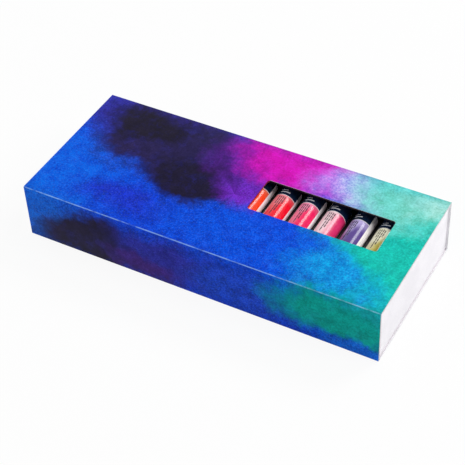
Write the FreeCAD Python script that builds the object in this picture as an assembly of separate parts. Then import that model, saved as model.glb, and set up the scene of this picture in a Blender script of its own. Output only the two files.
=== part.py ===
import FreeCAD, Part
import math
import os

# A boxed set of paint tubes: a book-style card box with a window in its lid, a tray of four walls,
# two formed holders one above the other, and a row of tubes with screw caps in each holder.
# Millimetres. X runs along the box, +Y to the back where the caps are, +Z up.
# The origin is at the middle of the underside.

# Paint tubes
TUBE_RADIUS = 8.0
TUBE_WALL = 0.3
TUBE_GAP = 3.8              # between two neighbours in a row
TUBE_ROLL = 20.0            # degrees: each tube leans, so that the wide tails overlap like tiles
TAIL_LENGTH = 6.0           # folded tail
TAIL_THICKNESS = 2.2
WEDGE_LENGTH = 38.0         # from the tail to where the body is round
ROUND_LENGTH = 36.0
SHOULDER_LENGTH = 3.0
NECK_RADIUS = 3.8
SHOULDER_LEDGE = 0.8        # flat ring round the foot of the neck
NECK_LENGTH = 8.0
NOZZLE_RADIUS = 2.0
PAINT_CLEARANCE = 0.15

# Screw caps
CAP_WALL = 1.7              # at the closed end
CAP_TAPER = 0.6             # how much wider the cap is at its rim
CAP_ROOF = 4.7
CAP_GAP = 0.3               # between the shoulder and the cap's rim
CAP_ROOF_GAP = 0.3          # between the nozzle and the cap's roof
THREAD_CLEARANCE = 0.1
FLUTE_COUNT = 12
FLUTE_RADIUS = 0.9
FLUTE_DEPTH = 0.5

# Formed holders, one for each layer of tubes
SHEET = 0.6
FOOT_FLAT = 0.1             # how far each round channel is flattened underneath
CHANNEL_CLEARANCE = 0.3
LAND_DROP = 2.0             # lands between the channels lie this far below the tubes' axes
CHANNEL_LEAD = 1.0          # the channels start this far along the round body
POCKET_SIDE_GAP = 1.0       # from the last tube's tail to the pocket's side
POCKET_END_GAP = 2.0
RIM_SIDE = 15.0
RIM_END = 6.45
HOLDER_CLEARANCE = 0.4      # from the holder to the tray's walls
LAYER_GAP = 5.9             # from the lower tubes to the underside of the upper holder
LID_GAP = 3.5               # from the upper tubes to the lid

# Card box
BOARD = 1.5
TRAY_WALL = 1.5
OVERHANG = 1.2              # the cover stands past the tray's ends
FLAP_CLEARANCE = 0.3
LID_CLEARANCE = 0.3
FLOOR_CLEARANCE = 0.3       # under the flap's lower edge
FOLD_GAP = 0.1              # room in the mitred folds
WINDOW_LENGTH = 99.2
WINDOW_DEPTH = 33.1
WINDOW_RIGHT_MARGIN = 26.3
WINDOW_BACK_MARGIN = 35.8
WINDOW_CORNER = 2.0

# Closing magnets
MAGNET_RADIUS = 5.0
MAGNET_COVER = 0.5          # board left behind each magnet
MAGNET_CLEARANCE = 0.1
MAGNET_INSET = 50.0         # from each end of the box

# Rows of colours, from the left end
UPPER_COLOURS = ["white", "lemon", "yellow", "gold", "ochre", "peach",
                 "orange", "red", "crimson", "rose", "violet", "olive"]
LOWER_COLOURS = ["purple", "indigo", "blue", "azure", "turquoise", "emerald",
                 "green", "moss", "sienna", "umber", "grey", "black"]

# Places along a tube, from the end of its tail
WEDGE_START = TAIL_LENGTH
ROUND_START = WEDGE_START + WEDGE_LENGTH
SHOULDER_START = ROUND_START + ROUND_LENGTH
NECK_START = SHOULDER_START + SHOULDER_LENGTH
NECK_END = NECK_START + NECK_LENGTH
CAP_START = NECK_START + CAP_GAP
CAP_BORE = NECK_END + CAP_ROOF_GAP - CAP_START
CAP_LENGTH = CAP_BORE + CAP_ROOF
TUBE_LENGTH = CAP_START + CAP_LENGTH
CAP_BORE_RADIUS = NECK_RADIUS + THREAD_CLEARANCE
CAP_TOP_RADIUS = CAP_BORE_RADIUS + CAP_WALL
CAP_BASE_RADIUS = CAP_TOP_RADIUS + CAP_TAPER
TAIL_WIDTH = math.pi * (TUBE_RADIUS - TUBE_WALL / 2)
TAIL_REACH = (TAIL_WIDTH * math.cos(math.radians(TUBE_ROLL))
              + TAIL_THICKNESS * math.sin(math.radians(TUBE_ROLL))) / 2

# Lengths along X, from the middle outwards
PITCH = 2 * TUBE_RADIUS + TUBE_GAP
CHANNEL_RADIUS = TUBE_RADIUS + CHANNEL_CLEARANCE
LAST_TUBE_X = (len(UPPER_COLOURS) - 1) / 2 * PITCH
POCKET_X = LAST_TUBE_X + max(TAIL_REACH, CHANNEL_RADIUS) + POCKET_SIDE_GAP
HOLDER_X = POCKET_X + RIM_SIDE
TRAY_INNER_X = HOLDER_X + HOLDER_CLEARANCE
TRAY_X = TRAY_INNER_X + TRAY_WALL
BOX_X = TRAY_X + OVERHANG

# Lengths along Y, from the front of the box to its back
POCKET_LENGTH = TUBE_LENGTH + 2 * POCKET_END_GAP
HOLDER_DEPTH = POCKET_LENGTH + 2 * RIM_END
TRAY_DEPTH = HOLDER_DEPTH + 2 * HOLDER_CLEARANCE + 2 * TRAY_WALL
BOX_DEPTH = TRAY_DEPTH + FLAP_CLEARANCE + 2 * BOARD
BOX_Y = BOX_DEPTH / 2
TRAY_FRONT = -BOX_Y + BOARD + FLAP_CLEARANCE
TRAY_BACK = BOX_Y - BOARD
HOLDER_FRONT = TRAY_FRONT + TRAY_WALL + HOLDER_CLEARANCE
HOLDER_BACK = HOLDER_FRONT + HOLDER_DEPTH
POCKET_FRONT = HOLDER_FRONT + RIM_END
POCKET_BACK = POCKET_FRONT + POCKET_LENGTH
TAIL_Y = POCKET_FRONT + POCKET_END_GAP
CHANNEL_FRONT = TAIL_Y + ROUND_START + CHANNEL_LEAD

# Heights, from the underside up
AXIS_RISE = CHANNEL_RADIUS + SHEET - FOOT_FLAT
LOWER_AXIS = BOARD + AXIS_RISE
UPPER_FOOT = LOWER_AXIS + TUBE_RADIUS + LAYER_GAP
UPPER_AXIS = UPPER_FOOT + AXIS_RISE
UPPER_RIM = UPPER_AXIS + TUBE_RADIUS
LID_UNDERSIDE = UPPER_RIM + LID_GAP
BOX_HEIGHT = LID_UNDERSIDE + BOARD
WALL_TOP = LID_UNDERSIDE - LID_CLEARANCE

ALONG_X = FreeCAD.Vector(1, 0, 0)
ALONG_Y = FreeCAD.Vector(0, 1, 0)


def block(x0, x1, y0, y1, z0, z1):
    """A box between two corners."""
    return Part.makeBox(x1 - x0, y1 - y0, z1 - z0, FreeCAD.Vector(x0, y0, z0))


def board_along_x(outline):
    """A board as long as the box, from its outline of (y, z) points."""
    corners = [FreeCAD.Vector(-BOX_X, y, z) for y, z in outline]
    face = Part.Face(Part.makePolygon(corners + corners[:1]))
    return face.extrude(FreeCAD.Vector(2 * BOX_X, 0, 0))


def disc_along_y(radius, length, x, y, z):
    """A round disc or bore that runs towards +Y from the given centre."""
    return Part.makeCylinder(radius, length, FreeCAD.Vector(x, y, z), ALONG_Y)


# Cover boards

def lid_window():
    """The cutter for the window, with rounded corners."""
    right = BOX_X - WINDOW_RIGHT_MARGIN
    back = BOX_Y - WINDOW_BACK_MARGIN
    cutter = block(right - WINDOW_LENGTH, right, back - WINDOW_DEPTH, back,
                   LID_UNDERSIDE - BOARD, BOX_HEIGHT + BOARD)
    upright = [edge for edge in cutter.Edges
               if abs(edge.Vertexes[0].Z - edge.Vertexes[1].Z) > BOARD]
    return cutter.makeFillet(WINDOW_CORNER, upright)


def lid_board():
    """The top panel, mitred at its front and back folds."""
    outer = BOX_Y - FOLD_GAP
    inner = outer - BOARD
    panel = board_along_x([(-outer, BOX_HEIGHT), (outer, BOX_HEIGHT),
                           (inner, LID_UNDERSIDE), (-inner, LID_UNDERSIDE)])
    return panel.cut(lid_window())


def flap_board():
    """The front panel, mitred at its upper fold, with pockets for its magnets."""
    inner = -BOX_Y + BOARD
    top = BOX_HEIGHT - FOLD_GAP
    panel = board_along_x([(-BOX_Y, top), (inner, top - BOARD),
                           (inner, FLOOR_CLEARANCE), (-BOX_Y, FLOOR_CLEARANCE)])
    for x, z in magnet_places():
        panel = panel.cut(disc_along_y(MAGNET_RADIUS + MAGNET_CLEARANCE, BOARD,
                                       x, -BOX_Y + MAGNET_COVER, z))
    return panel


def spine_board():
    """The back panel, mitred at both folds."""
    inner = BOX_Y - BOARD
    top = BOX_HEIGHT - FOLD_GAP
    return board_along_x([(BOX_Y, top), (inner, top - BOARD),
                          (inner, FOLD_GAP + BOARD), (BOX_Y, FOLD_GAP)])


def base_board():
    """The bottom panel, mitred at the back fold and square at the front."""
    back = BOX_Y - FOLD_GAP
    return board_along_x([(TRAY_FRONT, 0), (back, 0), (back - BOARD, BOARD), (TRAY_FRONT, BOARD)])


# Tray walls

def front_wall():
    """The wall behind the flap, with pockets for its magnets."""
    wall = block(-TRAY_INNER_X, TRAY_INNER_X, TRAY_FRONT, TRAY_FRONT + TRAY_WALL, BOARD, WALL_TOP)
    for x, z in magnet_places():
        wall = wall.cut(disc_along_y(MAGNET_RADIUS + MAGNET_CLEARANCE, TRAY_WALL,
                                     x, TRAY_FRONT - MAGNET_COVER, z))
    return wall


def back_wall():
    """The wall that is glued to the spine."""
    return block(-TRAY_INNER_X, TRAY_INNER_X, TRAY_BACK - TRAY_WALL, TRAY_BACK, BOARD, WALL_TOP)


def end_walls():
    """The two ends, which close the tray over its full depth."""
    right = block(TRAY_INNER_X, TRAY_X, TRAY_FRONT, TRAY_BACK, BOARD, WALL_TOP)
    left = block(-TRAY_X, -TRAY_INNER_X, TRAY_FRONT, TRAY_BACK, BOARD, WALL_TOP)
    return Part.makeCompound([left, right])


# Magnets

def magnet_places():
    """The (x, z) centres of the magnets."""
    x = BOX_X - MAGNET_INSET
    return [(-x, BOX_HEIGHT / 2), (x, BOX_HEIGHT / 2)]


def flap_magnets():
    """The discs let into the flap, flush with its inner face."""
    thickness = BOARD - MAGNET_COVER
    return Part.makeCompound([disc_along_y(MAGNET_RADIUS, thickness, x, -BOX_Y + MAGNET_COVER, z)
                              for x, z in magnet_places()])


def wall_magnets():
    """The discs let into the front wall, flush with its outer face."""
    thickness = TRAY_WALL - MAGNET_COVER
    return Part.makeCompound([disc_along_y(MAGNET_RADIUS, thickness, x, TRAY_FRONT, z)
                              for x, z in magnet_places()])


# Formed holders

def tube_places(count):
    """The x of each tube in a row, from the left."""
    return [(index - (count - 1) / 2) * PITCH for index in range(count)]


def holder_form(inset, foot, axis, rim):
    """The bulk under one side of a formed sheet: inset 0 is the upper side, one sheet the lower."""
    bulk = block(-HOLDER_X + inset, HOLDER_X - inset, HOLDER_FRONT + inset, HOLDER_BACK - inset,
                 foot, rim - inset)
    land = axis - LAND_DROP - inset
    pocket = block(-POCKET_X - inset, POCKET_X + inset, POCKET_FRONT - inset, POCKET_BACK + inset,
                   land, rim)
    trough = block(-POCKET_X - inset, POCKET_X + inset, POCKET_FRONT - inset, CHANNEL_FRONT + inset,
                   axis - CHANNEL_RADIUS - inset, rim)
    channels = [disc_along_y(CHANNEL_RADIUS + inset, POCKET_BACK - CHANNEL_FRONT + inset,
                             x, CHANNEL_FRONT, axis)
                for x in tube_places(len(UPPER_COLOURS))]
    return bulk.cut([pocket, trough] + channels)


def holder(foot, axis, rim):
    """A formed sheet with a channel for each tube and an open trough for the tails."""
    return holder_form(0, foot, axis, rim).cut(holder_form(SHEET, foot, axis, rim))


# Tubes, caps and paint, each built once about the Y axis with the end of the tail at the origin

def ellipse_wire(y, half_width, half_height):
    """A closed outline across the tube's axis."""
    centre = FreeCAD.Vector(0, y, 0)
    side = FreeCAD.Vector(half_width, y, 0)
    top = FreeCAD.Vector(0, y, half_height)
    return Part.Wire(Part.Ellipse(side, top, centre).toShape())


def circle_wire(y, radius):
    """A closed round outline across the tube's axis, starting at its +X side."""
    circle = Part.Circle(FreeCAD.Vector(0, y, 0), FreeCAD.Vector(0, -1, 0), radius)
    circle.XAxis = ALONG_X
    return Part.Wire(circle.toShape())


def wedge(inset):
    """The stretch from the flat tail to the round body, drawn in by an inset."""
    flat = ellipse_wire(WEDGE_START, TAIL_WIDTH / 2 - inset, TAIL_THICKNESS / 2 - inset)
    return Part.makeLoft([flat, circle_wire(ROUND_START, TUBE_RADIUS - inset)], True, True)


def turned_solid(profile):
    """A solid turned about the Y axis from its (radius, y) outline."""
    corners = [FreeCAD.Vector(radius, y, 0) for radius, y in profile]
    face = Part.Face(Part.makePolygon(corners + corners[:1]))
    return face.revolve(FreeCAD.Vector(0, 0, 0), ALONG_Y, 360)


def tube_head():
    """The round body, shoulder and neck, bored through."""
    inner = TUBE_RADIUS - TUBE_WALL
    return turned_solid([(inner, ROUND_START), (TUBE_RADIUS, ROUND_START),
                         (TUBE_RADIUS, SHOULDER_START), (NECK_RADIUS + SHOULDER_LEDGE, NECK_START),
                         (NECK_RADIUS, NECK_START), (NECK_RADIUS, NECK_END),
                         (NOZZLE_RADIUS, NECK_END), (NOZZLE_RADIUS, NECK_START - TUBE_WALL),
                         (inner, SHOULDER_START - TUBE_WALL)])


def tube():
    """The metal tube: folded tail, wedge and head in one skin."""
    tail = block(-TAIL_WIDTH / 2, TAIL_WIDTH / 2, 0, TAIL_LENGTH,
                 -TAIL_THICKNESS / 2, TAIL_THICKNESS / 2)
    skin = wedge(0).cut(wedge(TUBE_WALL))
    return tail.fuse([skin, tube_head()]).removeSplitter()


def paint_fill():
    """The paint, from the tail up to the shoulder."""
    inset = TUBE_WALL + PAINT_CLEARANCE
    round_part = disc_along_y(TUBE_RADIUS - inset, ROUND_LENGTH - inset, 0, ROUND_START, 0)
    return wedge(inset).fuse(round_part).removeSplitter()


def cap():
    """The fluted screw cap with its plain bore."""
    shell = Part.makeCone(CAP_BASE_RADIUS, CAP_TOP_RADIUS, CAP_LENGTH,
                          FreeCAD.Vector(0, CAP_START, 0), ALONG_Y)
    bore = disc_along_y(CAP_BORE_RADIUS, CAP_BORE, 0, CAP_START, 0)
    reach = CAP_BASE_RADIUS + FLUTE_RADIUS - FLUTE_DEPTH
    cutters = [bore]
    for index in range(FLUTE_COUNT):
        angle = 2 * math.pi * index / FLUTE_COUNT
        cutters.append(disc_along_y(FLUTE_RADIUS, CAP_LENGTH, reach * math.cos(angle), CAP_START,
                                    reach * math.sin(angle)))
    return shell.cut(cutters)


def placed(shape, x, z):
    """A tube's piece, leaned and set in its place in a row."""
    lean = FreeCAD.Rotation(ALONG_Y, -TUBE_ROLL)
    copy = shape.copy()
    copy.Placement = FreeCAD.Placement(FreeCAD.Vector(x, TAIL_Y, z), lean)
    return copy


def tube_pieces():
    """Every tube and cap by name, and the paint of all of them as one group."""
    one_tube, one_cap, one_fill = tube(), cap(), paint_fill()
    pieces = {}
    fills = []
    for colours, axis in ((LOWER_COLOURS, LOWER_AXIS), (UPPER_COLOURS, UPPER_AXIS)):
        for colour, x in zip(colours, tube_places(len(colours))):
            pieces["tube_" + colour] = placed(one_tube, x, axis)
            pieces["cap_" + colour] = placed(one_cap, x, axis)
            fills.append(placed(one_fill, x, axis))
    pieces["paint_fills"] = Part.makeCompound(fills)
    return pieces


def main():
    """Build every piece and write one file for each."""
    os.makedirs("parts", exist_ok=True)
    pieces = {
        "lid_board": lid_board(),
        "flap_board": flap_board(),
        "spine_board": spine_board(),
        "base_board": base_board(),
        "front_wall": front_wall(),
        "back_wall": back_wall(),
        "end_walls": end_walls(),
        "flap_magnets": flap_magnets(),
        "wall_magnets": wall_magnets(),
        "lower_insert": holder(BOARD, LOWER_AXIS, UPPER_FOOT),
        "upper_insert": holder(UPPER_FOOT, UPPER_AXIS, UPPER_RIM),
    }
    pieces.update(tube_pieces())
    for name, shape in pieces.items():
        shape.exportStep("parts/" + name + ".step")
    print(len(pieces), "pieces, box", round(2 * BOX_X, 3), "x", round(BOX_DEPTH, 3), "x",
          round(BOX_HEIGHT, 3), "mm")


main()
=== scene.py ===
"""Looks of a boxed paint tube set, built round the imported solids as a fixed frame."""
import logging
import math
import random
from contextlib import contextmanager
from dataclasses import dataclass
from enum import Enum, IntEnum
from functools import reduce
from typing import Callable, Iterator, Mapping, Optional, Sequence, Union

import bmesh
import bpy
from mathutils import Matrix, Vector


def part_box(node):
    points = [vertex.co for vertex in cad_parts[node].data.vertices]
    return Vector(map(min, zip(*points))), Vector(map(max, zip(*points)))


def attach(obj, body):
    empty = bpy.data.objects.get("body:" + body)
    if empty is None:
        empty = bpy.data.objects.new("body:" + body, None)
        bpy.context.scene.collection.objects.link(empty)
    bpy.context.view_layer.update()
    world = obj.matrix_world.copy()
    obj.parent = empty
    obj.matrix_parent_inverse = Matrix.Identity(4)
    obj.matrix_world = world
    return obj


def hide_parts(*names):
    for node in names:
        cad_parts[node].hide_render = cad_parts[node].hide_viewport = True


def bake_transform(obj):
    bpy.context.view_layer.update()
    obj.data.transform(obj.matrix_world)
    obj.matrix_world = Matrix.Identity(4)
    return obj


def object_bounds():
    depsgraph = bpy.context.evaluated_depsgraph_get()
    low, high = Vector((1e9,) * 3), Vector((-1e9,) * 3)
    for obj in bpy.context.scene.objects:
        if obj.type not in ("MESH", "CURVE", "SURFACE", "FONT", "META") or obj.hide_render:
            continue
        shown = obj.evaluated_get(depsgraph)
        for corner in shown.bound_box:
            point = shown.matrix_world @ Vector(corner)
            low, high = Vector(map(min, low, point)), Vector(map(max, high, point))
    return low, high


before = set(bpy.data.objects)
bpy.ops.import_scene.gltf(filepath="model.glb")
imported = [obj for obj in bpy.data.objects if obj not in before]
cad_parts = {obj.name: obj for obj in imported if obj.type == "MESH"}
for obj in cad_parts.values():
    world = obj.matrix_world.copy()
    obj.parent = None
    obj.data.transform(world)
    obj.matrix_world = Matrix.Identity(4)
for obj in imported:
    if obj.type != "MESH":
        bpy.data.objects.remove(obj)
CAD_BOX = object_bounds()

LOG = logging.getLogger("paint_tube_set")
MM = 0.001
PHOTO_SIDE = 465
SHEET_UV = "sheet"
LABEL_UV = "label"
PITCH = 19.8 * MM
LOWER_AXIS = 10.3 * MM
UPPER_AXIS = 33.0 * MM
LEAST_CORNER = 0.15 * MM
Colour = tuple[float, float, float, float]
Levels = tuple[int, int, int]
Point = tuple[float, float, float]
Pair = tuple[float, float]
Rows = tuple[Pair, ...]
Block = tuple[float, float, float, float]
Key = Union[int, str]
Mesh = bpy.types.Mesh
Object = bpy.types.Object


def srgb(red: int, green: int, blue: int) -> Colour:
    """Turn a display colour into the linear colour that the shaders take.

    Args:
        red: Red from 0 to 255.
        green: Green from 0 to 255.
        blue: Blue from 0 to 255.

    Returns:
        The linear colour, with full opacity.
    """
    def linear(level: int) -> float:
        """Undo the display curve of one channel."""
        share = level / 255
        return share / 12.92 if share <= 0.04045 else ((share + 0.055) / 1.055) ** 2.4
    return (linear(red), linear(green), linear(blue), 1.0)


def ease(low: float, high: float, value: float) -> float:
    """Rise smoothly from 0 at low to 1 at high."""
    share = min(max((value - low) / (high - low), 0.0), 1.0)
    return share * share * (3 - 2 * share)


class Wire:
    """A node's output that can stand in Python expressions."""

    def __init__(self, nodes: "NodeSheet", socket: bpy.types.NodeSocket) -> None:
        """Keep the socket and the sheet that holds its node."""
        self.nodes = nodes
        self.socket = socket

    def other(self, output: Key) -> "Wire":
        """Give another output of the same node."""
        return Wire(self.nodes, self.socket.node.outputs[output])

    def __add__(self, value: "Value") -> "Wire":
        """Add a value."""
        return self.nodes.maths("ADD", self, value)

    def __sub__(self, value: "Value") -> "Wire":
        """Take a value away."""
        return self.nodes.maths("SUBTRACT", self, value)

    def __rsub__(self, value: "Value") -> "Wire":
        """Take this from a value."""
        return self.nodes.maths("SUBTRACT", value, self)

    def __mul__(self, value: "Value") -> "Wire":
        """Multiply by a value."""
        return self.nodes.maths("MULTIPLY", self, value)

    def __truediv__(self, value: "Value") -> "Wire":
        """Divide by a value."""
        return self.nodes.maths("DIVIDE", self, value)

    def __abs__(self) -> "Wire":
        """Drop the sign."""
        return self.nodes.maths("ABSOLUTE", self)

    __radd__ = __add__
    __rmul__ = __mul__

    def most(self, value: "Value") -> "Wire":
        """Give the greater of this and a value."""
        return self.nodes.maths("MAXIMUM", self, value)

    def root(self) -> "Wire":
        """Take the square root."""
        return self.nodes.maths("SQRT", self)

    def part(self) -> "Wire":
        """Keep what lies after the decimal point."""
        return self.nodes.maths("FRACT", self)

    def rise(self, low: "Value", high: "Value") -> "Wire":
        """Go smoothly from 0 at low to 1 at high."""
        inputs = {0: self, 1: low, 2: high}
        return self.nodes.add("ShaderNodeMapRange", inputs, interpolation_type="SMOOTHSTEP")

    def toward(self, target: "Value", share: "Value") -> "Wire":
        """Move from this value to a target by a share."""
        return self + (target - self) * share

    def within(self, low: float, high: float, soft: float) -> "Wire":
        """Mark the stretch from low to high with soft ends."""
        return self.rise(low - soft, low + soft) * self.rise(high + soft, high - soft)


Value = Union[Wire, float, int, Sequence[float], bpy.types.ID]


class NodeSheet:
    """A node tree that grows by plain calls."""

    def __init__(self, tree: bpy.types.NodeTree) -> None:
        """Keep the tree."""
        self.tree = tree

    def add(self, kind: str, inputs: Optional[Mapping[Key, Value]] = None, output: Key = 0,
            **settings: object) -> Wire:
        """Add one node.

        Args:
            kind: The node's type.
            inputs: Values or links of its sockets, by number or name.
            output: The output to give back.
            settings: Values of the node's own properties, set first.

        Returns:
            That output.
        """
        node = self.tree.nodes.new(kind)
        for name, value in settings.items():
            setattr(node, name, value)
        self.feed(node, inputs or {})
        return Wire(self, node.outputs[output])

    def feed(self, node: bpy.types.Node, inputs: Mapping[Key, Value]) -> None:
        """Link wires to a node's sockets or set the sockets' own values.

        Args:
            node: The node.
            inputs: A wire, a number or a row of numbers for each socket, by number or name.
        """
        for key, value in inputs.items():
            if isinstance(value, Wire):
                self.tree.links.new(value.socket, node.inputs[key])
            else:
                node.inputs[key].default_value = value

    def maths(self, operation: str, *values: Value) -> Wire:
        """Add a Math node for an operation on values."""
        return self.add("ShaderNodeMath", dict(enumerate(values)), operation=operation)

    def vector(self, operation: str, *values: Value, output: int = 0) -> Wire:
        """Add a Vector Math node for an operation on vectors."""
        return self.add("ShaderNodeVectorMath", dict(enumerate(values)), output, operation=operation)

    def mix(self, share: Value, first: Value, second: Value, blend: str = "MIX") -> Wire:
        """Mix two colours by the share that the second one takes."""
        inputs = {0: share, 6: first, 7: second}
        return self.add("ShaderNodeMix", inputs, 2, data_type="RGBA", blend_type=blend)

    def noise(self, place: Wire, scale: float, detail: float = 3.0, rough: float = 0.55) -> Wire:
        """Add soft noise from 0 to 1, whose colour is its output 1."""
        inputs = {"Vector": place, "Scale": scale, "Detail": detail, "Roughness": rough}
        return self.add("ShaderNodeTexNoise", inputs)

    def object_place(self) -> Wire:
        """Give the piece's own coordinates in metres."""
        return self.add("ShaderNodeTexCoord", output="Object")

    def uv_place(self, name: str) -> Wire:
        """Give the coordinates of a UV map."""
        return self.add("ShaderNodeUVMap", uv_map=name)

    def axes(self, place: Wire) -> tuple[Wire, Wire, Wire]:
        """Split a vector into its three parts."""
        split = self.add("ShaderNodeSeparateXYZ", {0: place})
        return split, split.other(1), split.other(2)

    def row(self, *parts: Value) -> Wire:
        """Join three parts into a vector."""
        return self.add("ShaderNodeCombineXYZ", dict(enumerate(parts)))

    def bump(self, height: Wire, strength: float, distance: float) -> Wire:
        """Turn a height into a normal."""
        inputs = {"Height": height, "Strength": strength, "Distance": distance}
        return self.add("ShaderNodeBump", inputs)

    def seen(self) -> Wire:
        """Mark the rays by which the camera, a mirror or clear plastic sees a surface."""
        rays = self.add("ShaderNodeLightPath", output="Is Camera Ray")
        return rays.most(rays.other("Is Glossy Ray")).most(rays.other("Is Transmission Ray"))


def new_object(name: str, data: bpy.types.ID) -> Object:
    """Link data to the scene as an object.

    Args:
        name: The object's name.
        data: A mesh, a light or a camera.

    Returns:
        The object.
    """
    obj = bpy.data.objects.new(name, data)
    bpy.context.scene.collection.objects.link(obj)
    return obj


def settled_mesh(obj: Object) -> Mesh:
    """Make an object's modifiers real once.

    Args:
        obj: The object; it is removed.

    Returns:
        Its mesh as the modifiers leave it.
    """
    graph = bpy.context.evaluated_depsgraph_get()
    mesh = bpy.data.meshes.new_from_object(obj.evaluated_get(graph))
    bpy.data.objects.remove(obj)
    return mesh


class GeometrySheet(NodeSheet):
    """A geometry tree with named inputs, made into plain meshes."""

    def __init__(self, name: str) -> None:
        """Start an empty tree that takes and gives geometry.

        Args:
            name: The tree's name.
        """
        super().__init__(bpy.data.node_groups.new(name, "GeometryNodeTree"))
        self.sockets: dict[str, str] = {}
        self.entry = self.tree.nodes.new("NodeGroupInput")
        for way in ("INPUT", "OUTPUT"):
            self.tree.interface.new_socket("Geometry", in_out=way, socket_type="NodeSocketGeometry")

    def sizes(self, *names: str, kind: str = "NodeSocketFloat") -> list[Wire]:
        """Add named inputs of one type.

        Args:
            names: The inputs' names.
            kind: The sockets' type.

        Returns:
            The inputs as wires.
        """
        for name in names:
            socket = self.tree.interface.new_socket(name, in_out="INPUT", socket_type=kind)
            self.sockets[name] = socket.identifier
        return [Wire(self, self.entry.outputs[name]) for name in names]

    def close(self, geometry: Wire) -> None:
        """End the tree in real faces that carry the finish.

        Args:
            geometry: What the tree has made.
        """
        finish, = self.sizes("Finish", kind="NodeSocketMaterial")
        real = self.add("GeometryNodeRealizeInstances", {0: geometry})
        dressed = self.add("GeometryNodeSetMaterial", {0: real, 2: finish})
        self.feed(self.tree.nodes.new("NodeGroupOutput"), {0: dressed})

    def plain_mesh(self, obj: Object, sizes: Mapping[str, Value]) -> Mesh:
        """Run the tree on an object once and give its result as a plain mesh.

        Args:
            obj: The object that the tree starts from; it is removed.
            sizes: A value for each named input.

        Returns:
            The finished mesh.
        """
        modifier = obj.modifiers.new(self.tree.name, "NODES")
        modifier.node_group = self.tree
        for name, value in sizes.items():
            modifier[self.sockets[name]] = value
        return settled_mesh(obj)


@dataclass(frozen=True)
class Finish:
    """A surface finish, made as a material at its first use."""

    name: str

    def material(self) -> bpy.types.Material:
        """Give the finish's material.

        Returns:
            The material, shared by all pieces with this finish.
        """
        found = bpy.data.materials.get(self.name)
        if found:
            return found
        material = bpy.data.materials.new(self.name)
        material.use_nodes = True
        nodes = NodeSheet(material.node_tree)
        nodes.feed(material.node_tree.nodes["Principled BSDF"], self.paint(nodes))
        return material

    def paint(self, nodes: NodeSheet) -> dict[str, Value]:
        """Give a value for each of the shader's inputs that the finish sets."""
        raise NotImplementedError


@dataclass(frozen=True)
class Pool:
    """A pool of wet colour on the flat sheet, in millimetres."""

    along: float
    across: float
    wide: float
    deep: float
    colour: Levels
    edge: float


POOLS = (
    Pool(-132, -30, 80, 76, (4, 91, 222), 0.2),
    Pool(-118, 50, 64, 40, (44, 42, 150), 0.2),
    Pool(-62, 28, 78, 48, (38, 32, 74), 0.55),
    Pool(-92, 42, 44, 24, (27, 23, 41), 0.5),
    Pool(-32, 0, 52, 30, (29, 25, 48), 0.5),
    Pool(-74, -38, 54, 20, (22, 48, 190), 0.2),
    Pool(-4, 42, 44, 42, (92, 30, 152), 0.2),
    Pool(10, 6, 34, 26, (104, 36, 178), 0.2),
    Pool(30, 48, 66, 40, (204, 20, 174), 0.35),
    Pool(64, 40, 38, 28, (178, 98, 226), 0.2),
    Pool(128, 0, 74, 96, (24, 184, 168), 0.4),
    Pool(84, 46, 46, 32, (168, 182, 236), 0.2),
    Pool(112, 44, 54, 36, (108, 204, 190), 0.25),
    Pool(136, 58, 48, 30, (168, 218, 206), 0.2),
    Pool(36, -38, 96, 36, (4, 73, 210), 0.4),
    Pool(98, -40, 46, 30, (10, 142, 214), 0.2),
    Pool(-128, -84, 54, 44, (8, 92, 204), 0.3),
    Pool(-84, -92, 60, 32, (34, 30, 56), 0.5),
    Pool(-20, -82, 64, 28, (42, 44, 146), 0.3),
    Pool(-46, -100, 42, 16, (62, 38, 118), 0.3),
    Pool(40, -88, 64, 32, (26, 66, 190), 0.3),
    Pool(112, -76, 74, 28, (8, 152, 142), 0.4),
    Pool(134, -104, 48, 18, (10, 94, 204), 0.4),
    Pool(-70, 86, 100, 44, (48, 40, 132), 0.4),
    Pool(30, 84, 70, 40, (152, 38, 172), 0.2),
    Pool(112, 84, 66, 52, (58, 190, 188), 0.3),
    Pool(0, 172, 190, 84, (12, 82, 206), 0.5),
    Pool(104, 156, 80, 70, (20, 156, 172), 0.2),
    Pool(-112, 182, 80, 64, (40, 36, 104), 0.3),
)


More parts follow.
